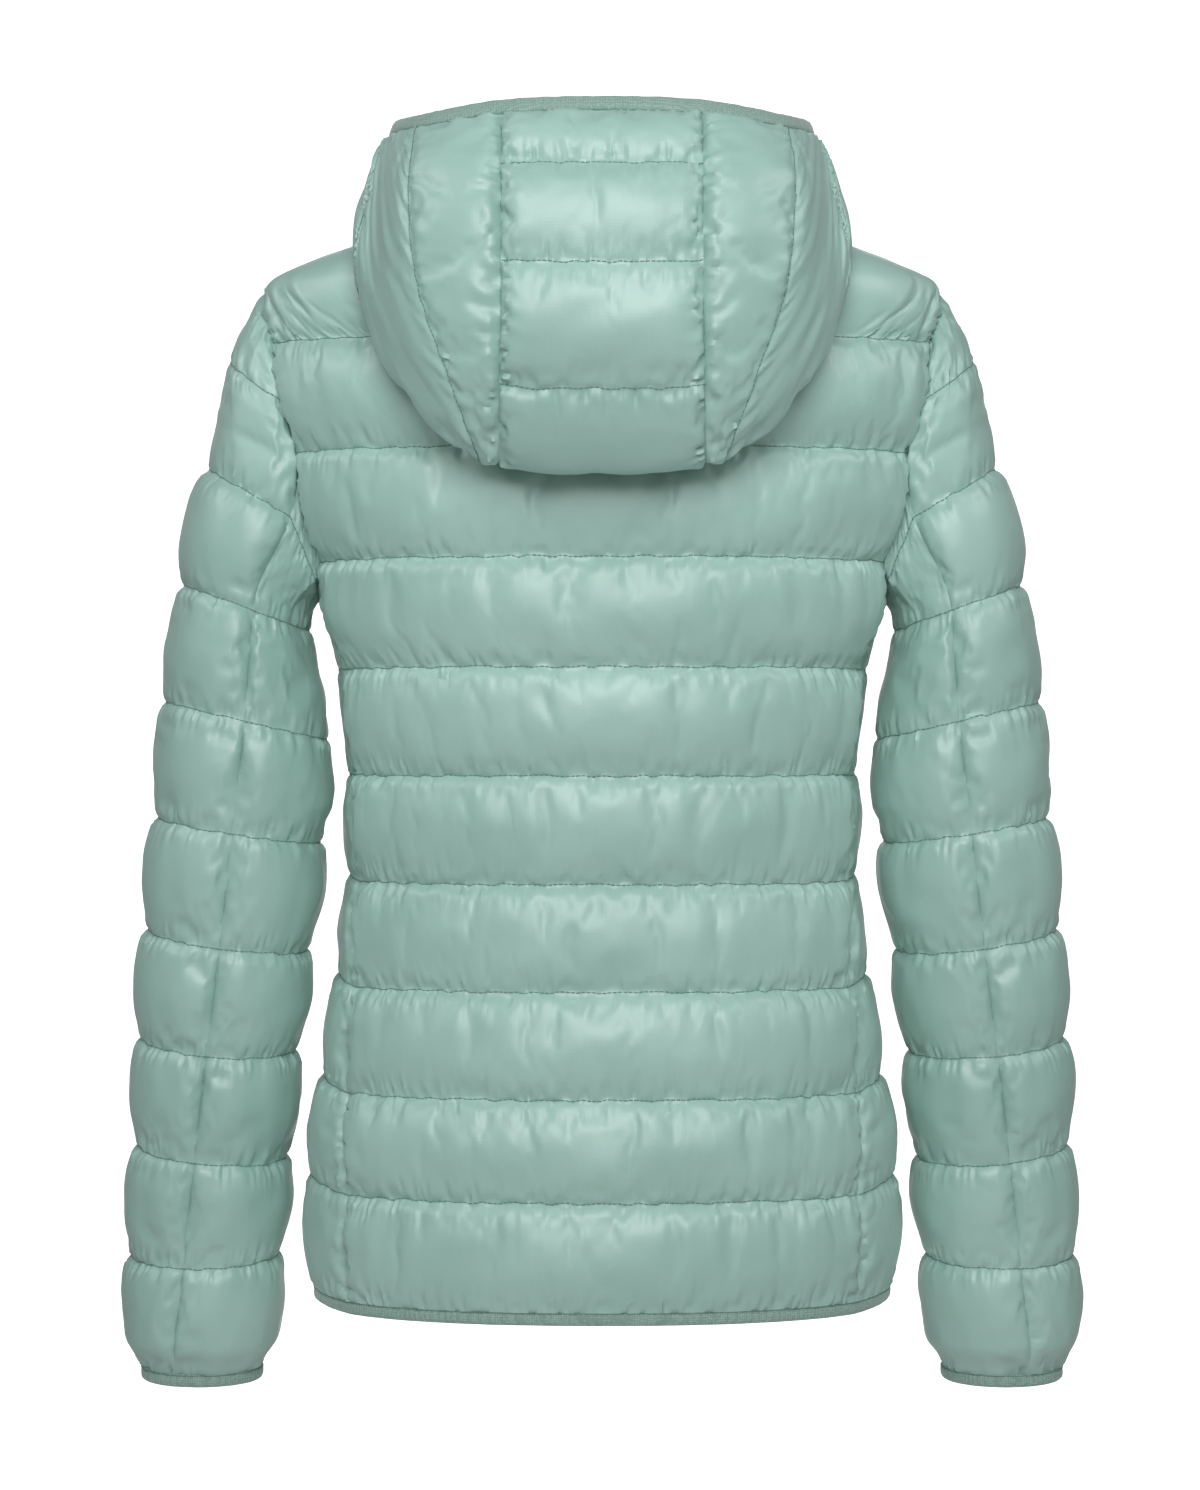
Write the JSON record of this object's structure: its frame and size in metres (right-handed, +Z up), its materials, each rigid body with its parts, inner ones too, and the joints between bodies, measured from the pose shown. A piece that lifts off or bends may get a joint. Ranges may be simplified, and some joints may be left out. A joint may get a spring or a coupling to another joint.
{
  "type": "hooded down jacket",
  "caption": "Slim hooded down jacket with cross-quilted channels, bound cuffs and hem and a full front zip, filled out as worn with the hood back.",
  "frame": {"origin": "centre of the neck base, where the wearer's shoulders hold the jacket", "axes": "+Z up, the wearer faces -Y, +X is the wearer's left"},
  "size_m": [0.5866, 0.3262, 0.7543],
  "materials": {
    "shell": "satin woven nylon",
    "elastic": "matte elastic binding",
    "zip_tape": "matte woven tape",
    "zip_enamel": "gloss"
  },
  "bodies": {
    "garment": {"back": "shell", "front_left": "shell", "front_right": "shell", "sleeve_upper_left": "shell", "sleeve_upper_right": "shell", "sleeve_under_left": "shell", "sleeve_under_right": "shell", "hood_centre": "shell", "hood_side_left": "shell", "hood_side_right": "shell", "hem_binding": "elastic", "hood_binding": "elastic", "cuff_binding_left": "elastic", "cuff_binding_right": "elastic", "zip_tape_left": "zip_tape", "zip_tape_right": "zip_tape", "zip_slider": "zip_enamel", "zip_box": "zip_enamel"},
    "pull_tab": {"zip_pull_tab": "zip_enamel"}
  },
  "joints": [
    {"name": "pull_tab_hinge", "type": "hinge", "parent": "garment", "child": "pull_tab", "pos_m": [0, -0.1014, -0.009], "axis": [-1, 0, 0], "range_deg": [0, 150]}
  ]
}
